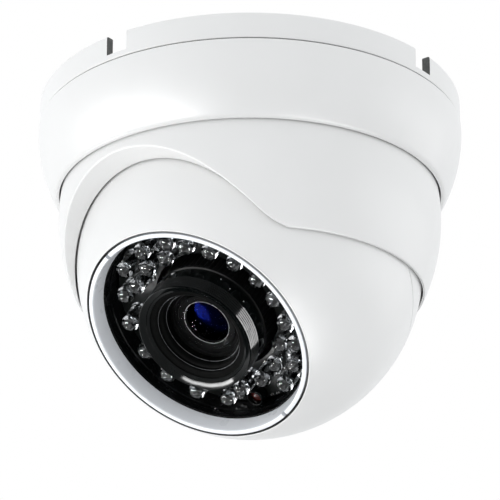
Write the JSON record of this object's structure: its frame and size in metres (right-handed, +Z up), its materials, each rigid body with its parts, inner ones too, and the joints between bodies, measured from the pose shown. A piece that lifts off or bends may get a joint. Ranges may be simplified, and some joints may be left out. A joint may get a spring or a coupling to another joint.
{
  "type": "dome cctv camera",
  "caption": "Ceiling turret dome security camera: round base and cover ring, arched swivel shell, tilting ball with infrared lamp ring and varifocal lens.",
  "frame": {"origin": "centre of the base face that lies on the ceiling", "axes": "+Z up into the ceiling, the ball looks towards -Y and 51.5 degrees below the horizontal at rest, tilt axis along X"},
  "size_m": [0.123, 0.123, 0.0994],
  "materials": {
    "housing_white": "satin moulded ABS, fine orange-peel",
    "bezel_white": "satin white paint on a turned ring",
    "black_plastic": "fine matt black",
    "lens_black": "semi-gloss black anodise",
    "rubber_black": "matt",
    "foam": "closed-cell foam",
    "steel": "plain machined",
    "bracket_steel": "zinc plated sheet",
    "acetal": "natural acetal",
    "board": "black solder mask",
    "clear_epoxy": "water-clear epoxy lamp body",
    "cell_red": "glossy light cell",
    "lens_glass": "coated optical glass, blue-violet reflection",
    "sensor_die": "glossy die under cover glass"
  },
  "bodies": {
    "base": {"mounting_base": "housing_white", "base_gasket": "foam", "enclosure_ring": "housing_white", "friction_ring": "acetal"},
    "swivel": {"swivel_shell": "housing_white", "pivot_bush_left": "acetal", "pivot_bush_right": "acetal"},
    "ball": {"ball_front_shell": "housing_white", "ball_rear_shell": "housing_white", "ball_seal": "rubber_black", "bezel_ring": "bezel_white", "cable_grommet": "rubber_black", "tilt_pivot_left": "steel", "tilt_pivot_right": "steel", "shell_screw_1": "steel", "shell_screw_2": "steel", "shell_screw_3": "steel"},
    "module": {"module_cup": "black_plastic", "led_board": "board", "led_01": "clear_epoxy", "led_02": "clear_epoxy", "led_03": "clear_epoxy", "led_04": "clear_epoxy", "led_05": "clear_epoxy", "led_06": "clear_epoxy", "led_07": "clear_epoxy", "led_08": "clear_epoxy", "led_09": "clear_epoxy", "led_10": "clear_epoxy", "led_11": "clear_epoxy", "led_12": "clear_epoxy", "led_13": "clear_epoxy", "led_14": "clear_epoxy", "led_15": "clear_epoxy", "led_16": "clear_epoxy", "led_17": "clear_epoxy", "led_18": "clear_epoxy", "led_19": "clear_epoxy", "led_20": "clear_epoxy", "led_21": "clear_epoxy", "led_22": "clear_epoxy", "led_23": "clear_epoxy", "led_24": "clear_epoxy", "led_25": "clear_epoxy", "light_sensor": "cell_red", "lens_barrel": "lens_black", "second_element": "lens_glass", "lens_mount": "lens_black", "lens_bracket": "bracket_steel", "image_sensor": "sensor_die", "sensor_board": "board", "main_board": "board", "board_connector": "acetal"},
    "focus": {"focus_ring": "black_plastic", "lens_front_sleeve": "lens_black", "front_element": "lens_glass", "lens_baffle": "lens_black", "focus_lock_screw": "steel"},
    "zoom": {"zoom_ring": "black_plastic", "zoom_lock_screw": "steel"}
  },
  "joints": [
    {"name": "pan", "type": "hinge", "parent": "base", "child": "swivel", "pos_m": [0, 0, 0], "axis": [0, 0, 1], "range_deg": [-177.5, 177.5]},
    {"name": "tilt", "type": "hinge", "parent": "swivel", "child": "ball", "pos_m": [0, 0, -0.0501], "axis": [1, 0, 0], "range_deg": [-25, 38.5]},
    {"name": "roll", "type": "hinge", "parent": "ball", "child": "module", "pos_m": [0, 0, -0.0501], "axis": [0, -0.6225, -0.7826], "range_deg": [-177.5, 177.5]},
    {"name": "focus", "type": "hinge", "parent": "module", "child": "focus", "pos_m": [0, 0, -0.0501], "axis": [0, -0.6225, -0.7826], "range_deg": [0, 90]},
    {"name": "zoom", "type": "hinge", "parent": "module", "child": "zoom", "pos_m": [0, 0, -0.0501], "axis": [0, -0.6225, -0.7826], "range_deg": [0, 75]}
  ]
}
